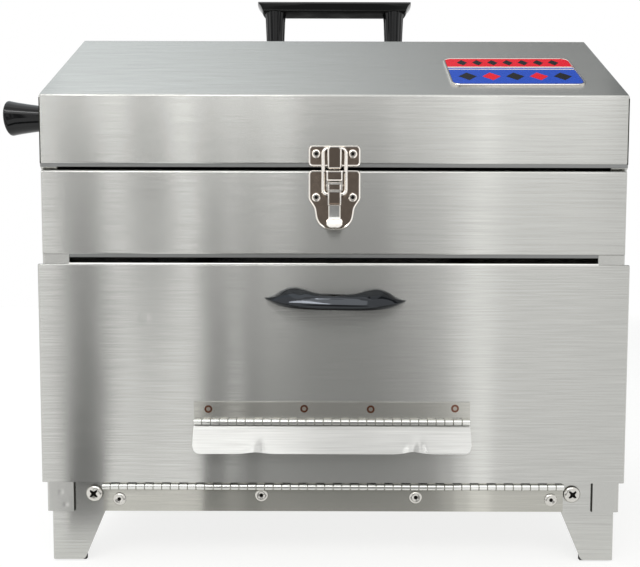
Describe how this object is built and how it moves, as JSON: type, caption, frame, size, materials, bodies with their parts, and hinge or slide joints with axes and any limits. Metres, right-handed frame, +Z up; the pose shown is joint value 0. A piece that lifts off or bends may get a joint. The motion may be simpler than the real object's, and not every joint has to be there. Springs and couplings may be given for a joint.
{
  "type": "portable charcoal grill",
  "caption": "Table-top charcoal grill: stainless box body on corner legs, hinged hood with latch, carry handle and side knob, and a fold-down front door with an air flap.",
  "frame": {"origin": "under the middle of the whole grill's bounding box, at the feet's undersides", "axes": "+Z up, the front door faces -Y, the side knob points to -X"},
  "size_m": [0.4669, 0.3836, 0.4721],
  "materials": {
    "stainless": "horizontal grain brushed stainless sheet",
    "black_plastic": "gloss black moulding",
    "black_nickel": "polished black nickel plate",
    "bright_fasteners": "bright plated",
    "rubber": "matt black",
    "badge": "polished rim with coloured enamel fields",
    "wire": "bright plated wire",
    "pan_sheet": "dull rolled sheet"
  },
  "bodies": {
    "body": {"side_panel_left": "stainless", "side_panel_right": "stainless", "rear_panel": "stainless", "upper_front_panel": "stainless", "floor_pan": "stainless", "leg_front_left": "stainless", "leg_front_right": "stainless", "leg_rear_left": "stainless", "leg_rear_right": "stainless", "foot_pads": "rubber", "leg_screws": "bright_fasteners", "leg_nuts": "bright_fasteners", "door_hinge_sill_leaf": "stainless", "door_hinge_pin": "stainless", "door_hinge_rivets": "bright_fasteners", "hood_hinge_body_leaf": "stainless", "hood_hinge_pin": "stainless", "hood_hinge_body_rivets": "bright_fasteners", "hood_stops": "stainless", "cooking_grate": "wire", "cooking_grate_rests": "stainless", "charcoal_grate": "wire", "charcoal_grate_rests": "stainless", "ash_pan": "pan_sheet", "latch_base": "black_nickel", "latch_base_rivets": "bright_fasteners", "latch_pivot_pin": "black_nickel"},
    "hood": {"hood_wrap": "stainless", "hood_end_left": "stainless", "hood_end_right": "stainless", "carry_handle": "black_plastic", "carry_handle_screws": "bright_fasteners", "side_knob": "black_plastic", "side_knob_screw": "bright_fasteners", "badge_plate": "badge", "latch_keeper": "black_nickel", "latch_keeper_rivets": "bright_fasteners", "hood_hinge_hood_leaf": "stainless", "hood_hinge_hood_rivets": "bright_fasteners"},
    "door": {"door_skin": "stainless", "door_stiffener": "stainless", "door_hinge_door_leaf": "stainless", "door_pull": "black_nickel", "door_pull_screws": "bright_fasteners", "flap_hinge_door_leaf": "stainless", "flap_hinge_pin": "stainless"},
    "flap": {"vent_flap": "stainless"},
    "latch_lever": {"latch_lever": "black_nickel"},
    "latch_bail": {"latch_bail": "black_nickel"}
  },
  "joints": [
    {"name": "hood_hinge", "type": "hinge", "parent": "body", "child": "hood", "pos_m": [0.01705, 0.1781, 0.29215], "axis": [-1, 0, 0], "range_deg": [0, 100]},
    {"name": "door_hinge", "type": "hinge", "parent": "body", "child": "door", "pos_m": [0.01705, -0.1681, 0.0572], "axis": [1, 0, 0], "range_deg": [0, 95]},
    {"name": "flap_hinge", "type": "hinge", "parent": "door", "child": "flap", "pos_m": [0.01605, -0.1716, 0.1065], "axis": [-1, 0, 0], "range_deg": [-25, 60]},
    {"name": "latch_lever_pivot", "type": "hinge", "parent": "body", "child": "latch_lever", "pos_m": [0.01805, -0.1737, 0.278], "axis": [-1, 0, 0], "range_deg": [0, 100]},
    {"name": "latch_bail_pivot", "type": "hinge", "parent": "latch_lever", "child": "latch_bail", "pos_m": [0.01805, -0.1729, 0.272], "axis": [-1, 0, 0], "range_deg": [-90, 0]}
  ],
  "couplings": [
    {"joint": "latch_bail_pivot", "follows": "latch_lever_pivot", "ratio": -0.87}
  ]
}
